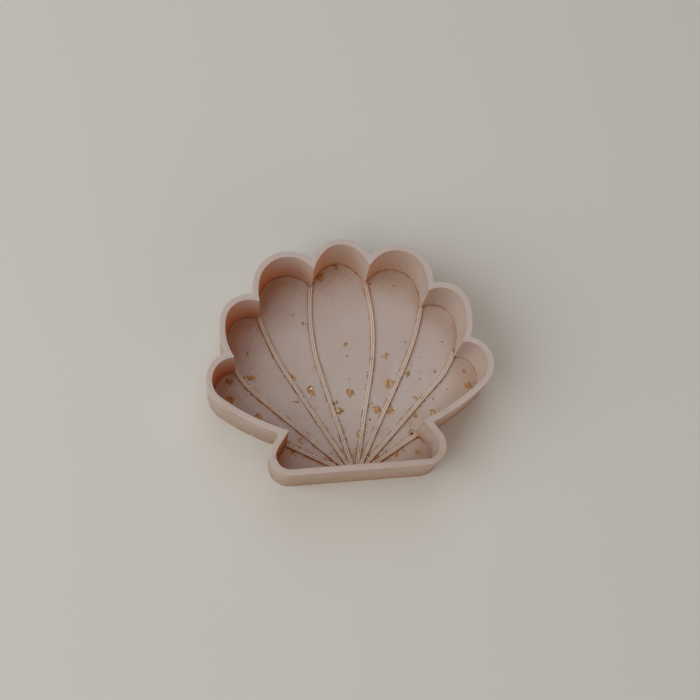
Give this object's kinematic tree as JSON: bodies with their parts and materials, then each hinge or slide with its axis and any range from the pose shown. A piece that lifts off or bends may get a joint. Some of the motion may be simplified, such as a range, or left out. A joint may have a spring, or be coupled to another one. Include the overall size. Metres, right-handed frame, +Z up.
{
  "type": "sand mould",
  "caption": "Open shell-shaped tray with an upright scalloped wall and thin ribs fanned over its floor, pressed full of damp sand and turned out.",
  "frame": {"origin": "middle of the outline's box on the underside, on the surface that the mould lies on", "axes": "+Z up, to the open side; +Y to the tip of the middle lobe, away from the straight bar of the base; +X across the shell, to the right as seen from above with the middle lobe away from the viewer; mirror symmetric about X = 0"},
  "size_m": [0.1006, 0.083, 0.025],
  "materials": {
    "printed_plastic": "matte dusty pink plastic with the fine ridges of its printed layers"
  },
  "bodies": {
    "root": {"floor_plate": "printed_plastic", "scalloped_wall": "printed_plastic", "base_wall": "printed_plastic", "rib_left_inner": "printed_plastic", "rib_right_inner": "printed_plastic", "rib_left_middle": "printed_plastic", "rib_right_middle": "printed_plastic", "rib_left_outer": "printed_plastic", "rib_right_outer": "printed_plastic", "rib_left_ear": "printed_plastic", "rib_right_ear": "printed_plastic"}
  },
  "joints": []
}
